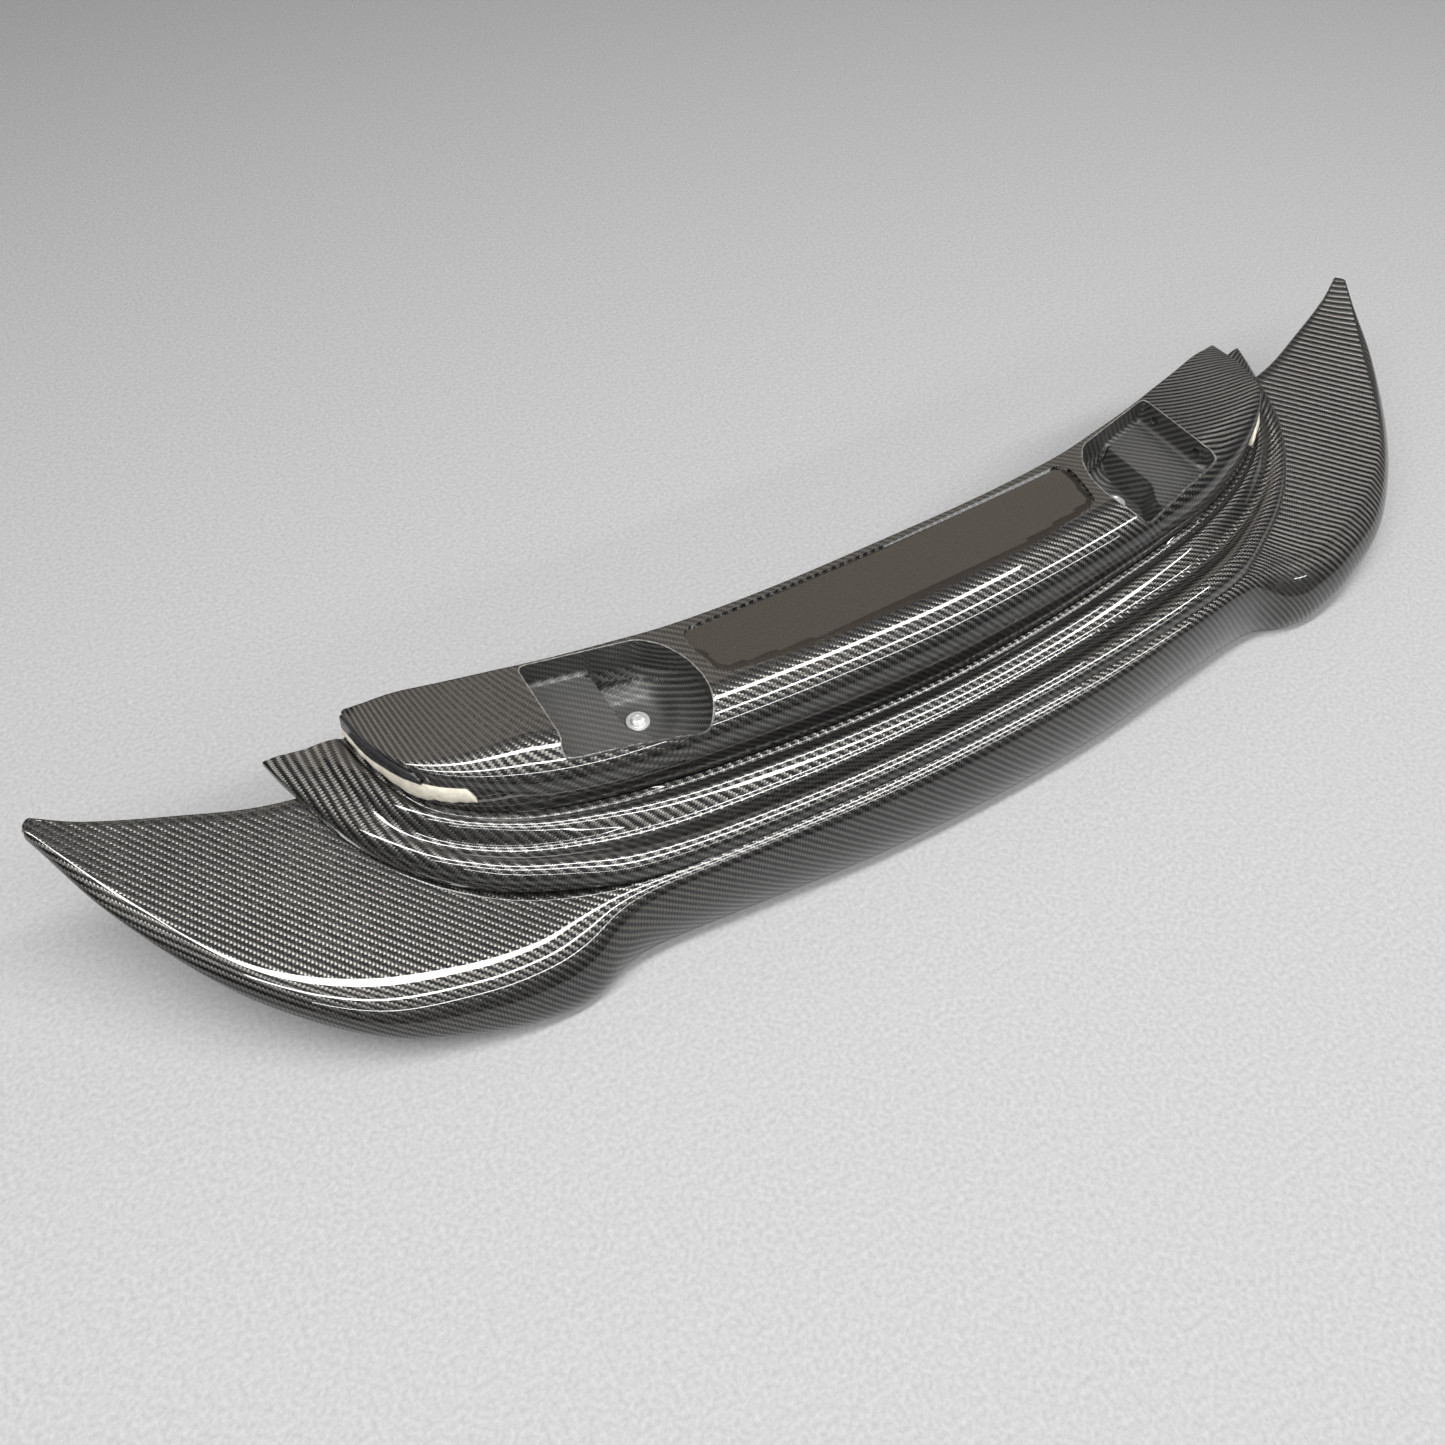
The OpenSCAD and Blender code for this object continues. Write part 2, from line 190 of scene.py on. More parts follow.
def unfold(grid, fold, sweep=0):
    """Weave coordinates in millimetres: the plan view behind column fold of the grid, and cloth
    wrapped down over that line in front of it. The share sweep of the cloth turns with the line
    at the swept ends."""
    uv = grid[:, :, :2].copy()
    line = grid[:, fold, :2]
    forward = calmed(row_normals(line))
    steps = np.linalg.norm(np.diff(grid, axis=1), axis=2)
    length = np.cumsum(steps[:, :fold][:, ::-1], axis=1)[:, ::-1]
    uv[:, :fold] = line[:, None] + forward[:, None] * length[:, :, None]
    along = np.linalg.norm(np.diff(line, axis=0, prepend=line[:1]), axis=1).cumsum()
    along = along - along[len(along) // 2]
    behind = np.cumsum(steps[:, fold:], axis=1)
    turned = np.zeros(uv.shape)
    turned[:, :, 0] = along[:, None]
    turned[:, :fold, 1] = -length
    turned[:, fold + 1:, 1] = behind
    middle_turn = CLOTH_TURNS + 50
    turned[:, :, 1] += np.interp(middle_turn, line[:, 0], line[:, 1])
    share = sweep * smooth((np.abs(grid[:, :, :1]) - CLOTH_TURNS) / 190)
    return uv + (turned - uv) * share


def calmed(rows):
    """Running mean along a line."""
    half = 6
    padded = np.pad(rows, ((half, half), (0, 0)), mode="edge")
    return np.mean([padded[k:k + len(rows)] for k in range(2 * half + 1)], axis=0)


def grid_normals(grid):
    n = np.cross(np.gradient(grid, axis=0), np.gradient(grid, axis=1))
    return n / np.maximum(np.linalg.norm(n, axis=2, keepdims=True), 1e-9)


def to_frame(points):
    """Millimetres of the lines to metres of the frame."""
    return np.array(points, float) * MM * (WIDE, 1, 1) + (0, RIM_NOTCH_Y, 0)


# --- making pieces ------------------------------------------------------------------------


def make_mesh(name, verts, faces, uvs, sharp=35):
    """Object from points in millimetres; uvs has one row for each point, in millimetres too."""
    mesh = bpy.data.meshes.new(name)
    mesh.from_pydata(to_frame(verts).tolist(), [], faces)
    mesh.validate()
    layer = mesh.uv_layers.new(name="weave")
    index = np.zeros(len(mesh.loops), int)
    mesh.loops.foreach_get("vertex_index", index)
    layer.data.foreach_set("uv", (np.array(uvs, float) * MM)[index].ravel())
    shade(mesh, sharp)
    piece = bpy.data.objects.new(name, mesh)
    bpy.context.scene.collection.objects.link(piece)
    return piece


def shade(mesh, sharp):
    mesh.polygons.foreach_set("use_smooth", [True] * len(mesh.polygons))
    mesh.set_sharp_from_angle(angle=math.radians(sharp))


def sheet(name, top, uv, thick, sharp=35):
    """Closed shell: a grid of surface points and the same grid moved inwards by thick."""
    low = top - grid_normals(top) * thick
    n, m = top.shape[:2]
    verts = np.vstack([top.reshape(-1, 3), low.reshape(-1, 3)])
    under = n * m
    faces = []
    for i in range(n - 1):
        for j in range(m - 1):
            a = i * m + j
            faces.append((a, a + m, a + m + 1, a + 1))
            faces.append((under + a, under + a + 1, under + a + m + 1, under + a + m))
    for i in range(n - 1):
        a, b = i * m, i * m + m - 1
        faces.append((a, under + a, under + a + m, a + m))
        faces.append((b, b + m, under + b + m, under + b))
    for j in range(m - 1):
        a, b = j, (n - 1) * m + j
        faces.append((a, a + 1, under + a + 1, under + a))
        faces.append((b, under + b, under + b + 1, b + 1))
    flat = uv.reshape(-1, 2)
    return make_mesh(name, verts, faces, np.vstack([flat, flat]), sharp)


def finish_piece(piece, slot, material, *nodes):
    piece.data.materials.clear()
    piece.data.materials.append(material)
    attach(piece, "root")
    if nodes:
        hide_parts(*nodes)


# --- blade --------------------------------------------------------------------------------


def rim_base(rim):
    return np.stack([rim[:, 0], rim[:, 1] + 13, np.maximum(0, rim[:, 2] - 5)], 1)


def tip_rows(rows, centres, reach):
    """Closes both ends of a set of rows with a rounded nose that reaches out that far."""
    nose = []
    for end, inner in ((0, 1), (-1, -2)):
        way = centres[end] - centres[inner]
        way = way / np.linalg.norm(way)
        turns = np.radians((18, 36, 54, 70, 82, 89))
        nose.append([centres[end] + (rows[end] - centres[end]) * math.cos(a)
                     + way * reach * math.sin(a) for a in turns])
    return np.concatenate([np.array(nose[0])[::-1], rows, np.array(nose[1])])


def blade_lines():
    ts = samples(RIM, BLADE_STEP)
    rim, crease, back = (span_line(p, ts) for p in (RIM, CREASE, BACK))
    return rim, crease, back, rim_base(rim)


def blade_centres():
    _, crease, back, base = blade_lines()
    return (base + crease + back) / 3


def blade_top():
    """Inner skin, with the round rim, the slope behind it and the rolled back edge."""
    rim, crease, back, base = blade_lines()
    reach = ((rim[:, 1] - crease[:, 1]) * 0.95)[:, None]
    slope = back - crease
    slope = slope / np.linalg.norm(slope, axis=1, keepdims=True)
    low = np.stack([rim[:, 0], rim[:, 1] - 7, base[:, 2]], 1)
    high = crease + slope * reach + (0, 0, 1) * reach * 0.12
    around, behind = 22, 16
    rows = [bezier(base, low, high, crease, k / around) for k in range(around + 1)]
    rows += [crease + (back - crease) * (k / behind) for k in range(1, behind)]
    for y, z in ((-0.9, 0), (0.4, -0.3), (1.2, -1.1), (1.5, -2.2), (1.5, -EDGE_H / 2)):
        rows.append(back + (0, y, z))
    grid = tip_rows(np.stack(rows, 1), blade_centres(), 4)
    piece = sheet("blade_inner", grid, lobe_cloth(unfold(grid, around)), SKIN, 50)
    finish_piece(piece, "glossy_carbon", CARBON, "blade_inner_skin")


def lobe_cloth(uv):
    """The cloth is skewed a little on each lobe, and not by the same amount."""
    x, y = uv[:, :, 0], uv[:, :, 1]
    left = np.maximum(0, -350 - x)
    right = smooth((x - 340) / 80)
    pivot_x, pivot_y = 380, 150
    u = x - right * (0.18 * (x - pivot_x) + 0.41 * (y - pivot_y))
    v = y - 0.22 * left + right * 0.27 * (y - pivot_y)
    return np.stack([u, v], 2)


def blade_bottom():
    """Outer skin, which rests on the floor with its middle and rises to the tips."""
    _, _, back, base = blade_lines()
    rows = []
    flat_reach = 430
    flat = 0.82 * np.maximum(0, 1 - (np.abs(base[:, 0]) / flat_reach) ** 4)
    across = 30
    for k in range(across + 1):
        v = 1 - (1 - k / across) ** 1.5
        rise = np.maximum(0, (v - flat) / (1 - flat)) ** 1.45
        row = base + (back - base) * v
        row[:, 2] = base[:, 2] + (back[:, 2] - EDGE_H - base[:, 2]) * rise
        rows.append(row)
    for y, z in ((0.9, 0.4), (1.4, 1.3), (1.5, 2.5), (1.5, EDGE_H / 2 - 0.3)):
        rows.append(back + (0, y, z - EDGE_H))
    grid = tip_rows(np.stack(rows, 1), blade_centres(), 4)[:, ::-1]
    piece = sheet("blade_outer", grid, grid[:, :, :2], SKIN, 50)
    finish_piece(piece, "glossy_carbon", CARBON, "blade_outer_skin")


# --- stepped fairing ----------------------------------------------------------------------


def fairing():
    """Shell between the seam on the blade and the tub's foot. Its steps fade at the tips."""
    ts = samples(SEAM, FAIRING_STEP)
    seam, foot = span_line(SEAM, ts), span_line(FOOT, ts)
    fade_from, fade_over = 440, 90
    fade = 1 - 0.8 * np.clip((np.abs(seam[:, 0]) - fade_from) / fade_over, 0, 1) ** 1.5
    rows = []
    for share, height in smooth_profile(STEPS, 5):
        rise = height * (fade if height > 0 else np.ones(len(fade)))
        rows.append(seam + (foot - seam) * share + rise[:, None] * (0, 0, 1))
    grid = np.stack(rows, 1)
    uv = unfold(grid, grid.shape[1] - 1, 0.6)
    piece = sheet("step_fairing_shell", grid, uv, SKIN * 0.8, 60)
    finish_piece(piece, "glossy_carbon", CARBON, "step_fairing")


# --- mounting tub -------------------------------------------------------------------------


def tub_lines(step):
    ts = samples(FOOT, step)
    up = (0, 0, TUB_TOP)
    return span_line(FOOT, ts), span_line(TUB_FRONT, ts) + up, span_line(TUB_BACK, ts) + up


def shoulder(foot, wall, rear):
    """Radius of the tub's rounded front edge, and the way across the top, at each station."""
    across = (rear - wall) * (1, 1, 0)
    depth = np.linalg.norm(across, axis=1, keepdims=True)
    height = (wall - foot)[:, 2:]
    widest, tightest = 34, 2
    turn = np.minimum(np.minimum(widest, (rear - wall)[:, 1:2] * 0.4),
                      np.maximum(tightest, (height - END_WALL) * 2.5))
    return turn, across / depth


def edge_distance(points, outline):
    """Distance of each point to a closed outline, positive inside."""
    p = np.array(points, float)[:, None]
    a = np.array(outline, float)
    b = np.roll(a, -1, 0)
    t = np.clip(((p - a) * (b - a)).sum(2) / ((b - a) ** 2).sum(1), 0, 1)
    gap = np.linalg.norm(p - a - (b - a) * t[:, :, None], axis=2).min(1)
    x, y = p[:, :, 0], p[:, :, 1]
    cross = (a[:, 1] > y) != (b[:, 1] > y)
    rise = np.where(a[:, 1] == b[:, 1], 1, b[:, 1] - a[:, 1])
    hit = x < (b[:, 0] - a[:, 0]) * (y - a[:, 1]) / rise + a[:, 0]
    inside = (cross & hit).sum(1) % 2 == 1
    return np.where(inside, gap, -gap)


def tub_grid(step):
    """Surface of the tub from its foot over the front edge and the top to the base of its back,
    and the columns where the top and the back begin."""
    foot, wall, rear = tub_lines(step)
    turn, across = shoulder(foot, wall, rear)
    up = np.array((0, 0, 1))
    start = foot + (0, 0.6, 1)
    lift = wall - up * turn
    below, around, behind = 5, 14, 8
    rows = [start + (lift - start) * (k / below) for k in range(below)]
    rows += [bezier(lift, wall - up * turn * 0.45, wall + across * turn * 0.5 - up * 0.5,
                    wall + across * turn * 1.1, k / around) for k in range(around + 1)]
    top = wall + across * turn * 1.1
    rows += [top + (rear - (0, 1.8, 0) - top) * (k / TUB_TOP_ROWS)
             for k in range(1, TUB_TOP_ROWS + 1)]
    for y, z in ((-0.9, -0.15), (-0.2, -0.6), (0.3, -1.3), (0.5, -2.4)):
        rows.append(rear + (0, y, z))
    base = np.stack([rear[:, 0], rear[:, 1] + 2, np.minimum(foot[:, 2] + 2, 100)], 1)
    last = rows[-1]
    rows += [last + (base - last) * (k / behind) for k in range(1, behind + 1)]
    return np.stack(rows, 1), below + around, below + around + TUB_TOP_ROWS


def swept_cloth(uv):
    """The cloth's weft turns steadily, by up to half a right angle, along the swept ends."""
    x, y = uv[:, :, 0], uv[:, :, 1]
    beyond = np.maximum(0, np.abs(x) - CLOTH_TURNS)
    slope = 0.0045 * beyond
    middle_y = 185
    return np.stack([x + np.sign(x) * (y - middle_y) * slope, y - slope * beyond / 2], 2)


def mounting_tub():
    """Shell with the panel's recess and the two wells cut out. Its cloth hangs down its back."""
    grid, fold, rear_edge = tub_grid(TUB_STEP)
    uv = swept_cloth(unfold(grid, fold))
    drop = np.cumsum(np.linalg.norm(np.diff(grid[:, rear_edge:], axis=1), axis=2), axis=1)
    uv[:, rear_edge + 1:] = uv[:, rear_edge:rear_edge + 1] + drop[:, :, None] * (0, 1)
    piece = sheet("tub_shell", grid, uv, SKIN)
    cut(piece, prism(panel_outline(), TUB_TOP - RECESS, TUB_TOP + CLEAR))
    for side in (-1, 1):
        cut(piece, prism(well_outline(side, 0), SHELF_Z - 5, TUB_TOP + CLEAR))
    shade(piece.data, 35)
    keep_normals(piece, to_frame(grid.reshape(-1, 3)), grid_normals(grid).reshape(-1, 3))
    finish_piece(piece, "glossy_carbon", CARBON, "mounting_tub")


def keep_normals(piece, points, normals):
    """Shades a cut surface with the normals that it had at points before the cut."""
    tree = KDTree(len(points))
    for i, point in enumerate(points):
        tree.insert(point, i)
    tree.balance()
    mesh = piece.data
    nearest = []
    for vertex in mesh.vertices:
        found = tree.find_n(vertex.co, 4)
        weights = np.array([1 / (gap + 1e-6) ** 2 for _, _, gap in found])
        mean = (normals[[i for _, i, _ in found]] * weights[:, None]).sum(0)
        nearest.append((mean / max(np.linalg.norm(mean), 1e-9), found[0][2] < 4 * MM))
    loops = []
    for face in mesh.polygons:
        for corner in face.vertices:
            normal, near = nearest[corner]
            follows = near and face.normal.dot(Vector(normal)) > 0.8
            loops.append(tuple(normal) if follows else tuple(face.normal))
    mesh.normals_split_custom_set(loops)


def rounded(outline, radius, step):
    """Closed outline with its corners rounded, and a point about every step."""
    p = np.array(outline, float)
    out = []
    for i in range(len(p)):
        before, here, after = p[i - 1], p[i], p[(i + 1) % len(p)]
        to_a, to_b = before - here, after - here
        la, lb = np.linalg.norm(to_a), np.linalg.norm(to_b)
        cut_a = here + to_a / la * min(radius, la * 0.48)
        cut_b = here + to_b / lb * min(radius, lb * 0.48)
        for t in np.linspace(0, 1, 7):
            out.append(cut_a * (1 - t) ** 2 + 2 * here * t * (1 - t) + cut_b * t * t)
    dense = []
    for a, b in zip(out, out[1:] + out[:1]):
        count = max(1, math.ceil(np.linalg.norm(b - a) / step))
        dense += [a + (b - a) * (k / count) for k in range(count)]
    return np.array(dense)


def panel_outline():
    return rounded(PANEL, 7, 3)


def well_outline(side, inset):
    """Outline of one well, clockwise on the right, moved inwards by inset."""
    p = rounded(WELL, 8, 2.5)
    along = np.roll(p, -1, 0) - np.roll(p, 1, 0)
    along = along / np.linalg.norm(along, axis=1, keepdims=True)
    p = p + np.stack([along[:, 1], -along[:, 0]], 1) * inset
    return p * (side, 1)


def prism(outline, low, high):
    """Closed cutter, not shown, that stands on an outline in millimetres."""
    n = len(outline)
    verts = [(x, y, z) for z in (low, high) for x, y in outline]
    faces = [(i, (i + 1) % n, n + (i + 1) % n, n + i) for i in range(n)]
    faces += [tuple(range(n))[::-1], tuple(range(n, 2 * n))]
    return make_cutter(verts, faces)


def make_cutter(verts, faces):
    cutter = make_mesh("cutter", verts, faces, np.array(verts)[:, :2])
    bm = bmesh.new()
    bm.from_mesh(cutter.data)
    bmesh.ops.recalc_face_normals(bm, faces=bm.faces)
    bm.to_mesh(cutter.data)
    bm.free()
    return cutter


def rod(x0, x1, y, z, radius, sides=40):
    """Round cutter along X."""
    turns = [2 * math.pi * k / sides for k in range(sides)]
    verts = [(x, y + radius * math.cos(a), z + radius * math.sin(a)) for x in (x0, x1)
             for a in turns]
    faces = [(i, (i + 1) % sides, sides + (i + 1) % sides, sides + i) for i in range(sides)]
    faces += [tuple(range(sides))[::-1], tuple(range(sides, 2 * sides))]
    return make_cutter(verts, faces)


def cut(piece, cutter):
    """Takes the cutter's volume out of the piece and deletes the cutter."""
    modifier = piece.modifiers.new("cut", "BOOLEAN")
    modifier.operation = "DIFFERENCE"
    modifier.solver = "EXACT"
    modifier.object = cutter
    apply_modifiers(piece)
    bpy.data.objects.remove(cutter)


def apply_modifiers(piece):
    bpy.context.view_layer.update()
    shaped = piece.evaluated_get(bpy.context.evaluated_depsgraph_get())
    mesh = bpy.data.meshes.new_from_object(shaped)
    piece.modifiers.clear()
    piece.data = mesh


# --- wells --------------------------------------------------------------------------------


def well_floor(points, outline):
    """Height of the liner's inner surface at points of the right-hand well: the shelf outboard,
    and inboard of it a pocket with a banked edge, a scooped middle and a flat round the bolt."""
    x, y = points[:, 0], points[:, 1]
    gap = np.maximum(0, edge_distance(points, outline))
    bowl = 28
    bank = bowl - np.sqrt(np.maximum(0, bowl ** 2 - np.maximum(0, bowl - gap) ** 2))
    reach = np.clip(SHELF_EDGE - 12 - x, 0, POCKET_R - 2)
    scoop = POCKET_R - np.sqrt(POCKET_R ** 2 - reach ** 2)
    soft = 5
    rise = np.log(np.exp(bank / soft) + np.exp(scoop / soft) - 1) * soft
    flat_r, blend = 11, 24
    rise = rise * smooth((np.hypot(x - BOLT[0], y - BOLT[1]) - flat_r) / blend)
    turn = 5
    lip = turn - np.sqrt(np.maximum(0, turn ** 2 - np.maximum(0, turn - gap) ** 2))
    on_shelf = smooth((x - shelf_edge(y) + 4) / 4)
    return POCKET_Z + rise + (SHELF_Z + lip - POCKET_Z - rise) * on_shelf


def shelf_edge(y):
    """The shelf's inboard edge, which reaches further inboard in front of the bolt."""
    extra, starts, over = 14, 126, 30
    return SHELF_EDGE + 1 - extra * smooth((starts - y) / over)


def surface_heights(points):
    """Height of the tub's outer surface above each point, in millimetres."""
    grid = tub_grid(TUB_STEP)[0]
    n, m = grid.shape[:2]
    faces = [(i * m + j, (i + 1) * m + j, (i + 1) * m + j + 1, i * m + j + 1)
             for i in range(n - 1) for j in range(m - 1)]
    tree = BVHTree.FromPolygons(grid.reshape(-1, 3).tolist(), faces)
    down, start = Vector((0, 0, -1)), TUB_TOP + 50
    return np.array([tree.ray_cast(Vector((x, y, start)), down)[0].z for x, y in points])


def well_liner(side):
    """Tray with straight walls, a fillet all round, an outboard shelf and a scooped pocket."""
    outline = well_outline(1, 0)
    rim = well_outline(1, 0.25)
    top = surface_heights(rim) - 0.3
    floor = well_floor(rim, outline)
    count = len(rim)
    verts, faces = [], []
    walls = 9
    for k in range(walls):
        z = top + (floor - top) * (k / (walls - 1))
        verts += [(x, y, h) for (x, y), h in zip(rim, z)]
    for inset in (0.6, 1.1, 1.8, 2.7, 3.8, 5.2):
        ring = well_outline(1, inset)
        verts += [(x, y, h) for (x, y), h in zip(ring, well_floor(ring, outline))]
    rings = len(verts) // count
    for k in range(rings - 1):
        for i in range(count):
            a, b = k * count + i, k * count + (i + 1) % count
            faces.append((a, b, b + count, a + count))
    faces += fill_floor(verts, count, outline)
    base = np.array(verts)
    drop = base[:walls * count, 2] - np.tile(floor, walls)
    base[:walls * count, 2] -= drop
    uv = base[:, :2] + np.outer(cloth_shift(base), (1, 0))
    uv[:walls * count] -= np.tile(row_of_inward(rim), (walls, 1)) * drop[:, None]
    uv = uv * (side, 1)
    if side < 0:
        faces = [f[::-1] for f in faces]
    piece = make_mesh(f"{NAMES[side]}_liner", np.array(verts) * (side, 1, 1), faces, uv, 50)
    thicken = piece.modifiers.new("wall", "SOLIDIFY")
    thicken.thickness = LINER_SKIN * MM
    thicken.offset = 1
    apply_modifiers(piece)
    hole_from, hole_to = 325, 345
    for y in HOLE_Y:
        cut(piece, rod(side * hole_from, side * hole_to, y, HOLE_Z, HOLE_R))
    shade(piece.data, 50)
    finish_piece(piece, "matt_carbon", MATT, f"{NAMES[side]}_well_liner")


def cloth_shift(points):
    """How far the liner's cloth lies outboard, as it runs down the step and up the scoop."""
    x, y, z = points[:, 0], points[:, 1], points[:, 2]
    scooped = POCKET_Z - SHELF_Z - 0.6 * (z - POCKET_Z)
    return np.where(x > shelf_edge(y) - 4, z - SHELF_Z, scooped)


def row_of_inward(ring):
    along = np.roll(ring, -1, 0) - np.roll(ring, 1, 0)
    along = along / np.linalg.norm(along, axis=1, keepdims=True)
    return np.stack([along[:, 1], -along[:, 0]], 1)


def fill_floor(verts, count, outline):
    """Triangles inside the last ring of verts, with new points on a grid that is finer across
    the shelf's edge."""
    ring = verts[-count:]
    first = len(verts) - count
    xs = np.concatenate([np.arange(-76, -8, 2.5), np.arange(-7, 2, 0.5), np.arange(3, 66, 2.5)])
    inner = np.array([(x + shelf_edge(y), y) for x in xs for y in np.arange(74, 202, 2.0)])
    inner = inner[edge_distance(inner, [p[:2] for p in ring]) > 0.7]
    flat = [Vector(p[:2]) for p in ring] + [Vector(p) for p in inner]
    loop = [tuple(range(count))]
    found = delaunay_2d_cdt(flat, [], loop, 1, 1e-5, True)
    points, faces, origin = found[0], found[2], found[3]
    heights = well_floor(np.array([tuple(p) for p in points]), outline)
    index = []
    for point, height, source in zip(points, heights, origin):
        on_ring = [s for s in source if s < count]
        if on_ring:
            index.append(first + on_ring[0])
        else:
            index.append(len(verts))
            verts.append((point.x, point.y, height))
    return [tuple(index[v] for v in face)[::-1] for face in faces]


def well_lip(side):
    """Thin edge of resin round the well's opening."""
    path = well_outline(side, 0)
    heights = surface_heights(well_outline(1, -0.6))
    wide, high = 0.6, 0.4
    turns = np.linspace(0, 2 * math.pi, 9)[:-1]
    section = [(wide * math.cos(a), high * math.sin(a)) for a in turns]
    out = -row_of_inward(path) * side
    wave = 0.25 * np.sin(np.arange(len(path)) * 1.7) + 0.2 * np.sin(np.arange(len(path)) * 0.61)
    verts = []
    for (x, y), (nx, ny), z, w in zip(path, out, heights, wave):
        for across, up in section:
            verts.append((x + nx * across * (1 + w), y + ny * across * (1 + w), z + up * (1 + w)))
    n, m = len(path), len(section)
    faces = [(i * m + j, ((i + 1) % n) * m + j, ((i + 1) % n) * m + (j + 1) % m,
              i * m + (j + 1) % m) for i in range(n) for j in range(m)]
    piece = make_mesh(f"{NAMES[side]}_well_lip", verts, faces, np.array(verts)[:, :2], 60)
    finish_piece(piece, "glossy_carbon", RESIN)


def bolt_washer(side):
    """Chamfered washer on the pocket's floor."""
    profile = [(3.4, 0), (9.6, 0), (10, 0.3), (10, 1.3), (9.7, WASHER_H), (3.6, WASHER_H),
               (3.4, 1.4)]
    piece = lathe(f"{NAMES[side]}_washer", BOLT[0] * side, BOLT[1], POCKET_Z, profile)
    finish_piece(piece, "zinc_steel", ZINC, f"{NAMES[side]}_bolt_washer")


def pocket_bolt(side):
    """Flanged hexagon bolt with chamfered corners and a dished top."""
    cx, cy = BOLT[0] * side, BOLT[1]
    base = POCKET_Z + WASHER_H
    sides = 72
    turns = [2 * math.pi * k / sides for k in range(sides)]
    shank_r, shank_h, hex_r, hex_corner = 3, 14, 5, 5.65
    rows = [[(cx + shank_r * math.cos(a), cy + shank_r * math.sin(a), base - shank_h)
             for a in turns]]
    for level, radius in ((0, 6.3), (0.6, 6.3), (1.25, 5.8), (1.3, None), (4.0, None),
                          (4.5, 4.2), (4.5, 2.6), (4.1, 2.2), (4.1, 0.3)):
        ring = []
        for a in turns:
            off = (math.degrees(a) - 20) % 60 - 30
            hexagon = hex_r / math.cos(math.radians(off))
            r = radius or min(hexagon, hex_corner)
            ring.append((cx + r * math.cos(a), cy + r * math.sin(a), base + level))
        rows.append(ring)
    verts = [p for ring in rows for p in ring]
    faces = [(r * sides + k, r * sides + (k + 1) % sides, (r + 1) * sides + (k + 1) % sides,
              (r + 1) * sides + k) for r in range(len(rows) - 1) for k in range(sides)]
    faces += [tuple(range(sides))[::-1], tuple(range(len(verts) - sides, len(verts)))]
    bolt = make_mesh(f"{NAMES[side]}_bolt", verts, faces, np.array(verts)[:, :2], 30)
    finish_piece(bolt, "zinc_steel", ZINC, f"{NAMES[side]}_pocket_bolt")


def lathe(name, cx, cy, z, profile, sides=72):
    """Closed ring turned round a vertical axis, from points of radius and height."""
    turns = [2 * math.pi * k / sides for k in range(sides)]
    verts = [(cx + r * math.cos(a), cy + r * math.sin(a), z + h) for a in turns
             for r, h in profile]
    m = len(profile)
    faces = [(k * m + j, ((k + 1) % sides) * m + j, ((k + 1) % sides) * m + (j + 1) % m,
              k * m + (j + 1) % m) for k in range(sides) for j in range(m)]
    return make_mesh(name, verts, faces, np.array(verts)[:, :2], 30)


# --- centre panel -------------------------------------------------------------------------


def centre_panel():
    """Thin glossy plate that fills the recess in the tub's top, with a rolled edge."""
    outline = panel_outline()
    cell, rolled = 4.0, 3
    xs = np.arange(-202, 203, cell)
    ys = np.arange(92, 168, cell)
    inner = np.array([(x, y) for x in xs for y in ys])
    inner = inner[edge_distance(inner, outline) > rolled]
    flat = [Vector(p) for p in outline] + [Vector(p) for p in inner]
    found = delaunay_2d_cdt(flat, [], [tuple(range(len(outline)))], 1, 1e-5, True)
    points = np.array([tuple(p) for p in found[0]])
    gap = np.maximum(0, edge_distance(points, outline))
    level = TUB_TOP - RECESS + 0.55 - 0.9 * (1 - smooth(gap / rolled)) ** 2
    verts = np.column_stack([points, level])
    piece = make_mesh("panel", verts, [tuple(f) for f in found[2]], points)
    thicken = piece.modifiers.new("wall", "SOLIDIFY")
    thicken.thickness = PANEL_THICK * MM
    thicken.offset = -1
    apply_modifiers(piece)
    shade(piece.data, 50)
    finish_piece(piece, "panel_carbon", PANEL_CARBON, "centre_panel")


# --- seals and beads ----------------------------------------------------------------------


def end_wall(x0):
    """Stations of the tub's right-hand end wall: span, way along, the wall's points, outward."""
    grid, fold, _ = tub_grid(STRIP_STEP)
    outward = row_normals(grid[:, 0])
    keep = grid[:, 0, 0] >= x0
    grid, outward = grid[keep][:, :fold], outward[keep]
    foot = grid[:, 0]
    reach = np.linalg.norm(np.diff(foot, axis=0, prepend=foot[:1]), axis=1).cumsum()
    return foot[:, 0], reach, grid, outward


def wall_strip(wall, outward, low, high, section):
    """Rows round a strip's section of points (distance from the wall, share of the height)."""
    rows = []
    for gap, share in section:
        z = low + (high - low) * share
        at = [(np.interp(h, w[:, 2], w[:, 0]), np.interp(h, w[:, 2], w[:, 1]), h)
              for h, w in zip(z, wall)]
        shift = outward * np.broadcast_to(gap, len(z))[:, None]
        rows.append(np.array(at) + np.column_stack([shift, np.zeros(len(z))]))
    return np.stack(rows, 1)


def edge_seal(side):
    """Black strip round the tub's end, with a rounded front end."""
    x, reach, wall, outward = end_wall(SEAL_FROM)
    low = np.interp(x, *SEAL_BASE)
    high = np.minimum(SEAL_TOP, wall[:, -1, 2] - 2)
    close = np.sqrt(np.clip(reach / 5, 0.25, 1))
    section = ((0.2, 0), (1.5, 0), (2.1, 0.04), (2.3, 0.12), (2.3, 0.84), (2.1, 0.93), (1.5, 0.98),
               (0.2, 1))
    grid = wall_strip(wall, outward, low, low + (high - low) * close, section)
    band(f"{NAMES[side]}_seal", grid, side, "black_seal", RUBBER, f"{NAMES[side]}_edge_seal")


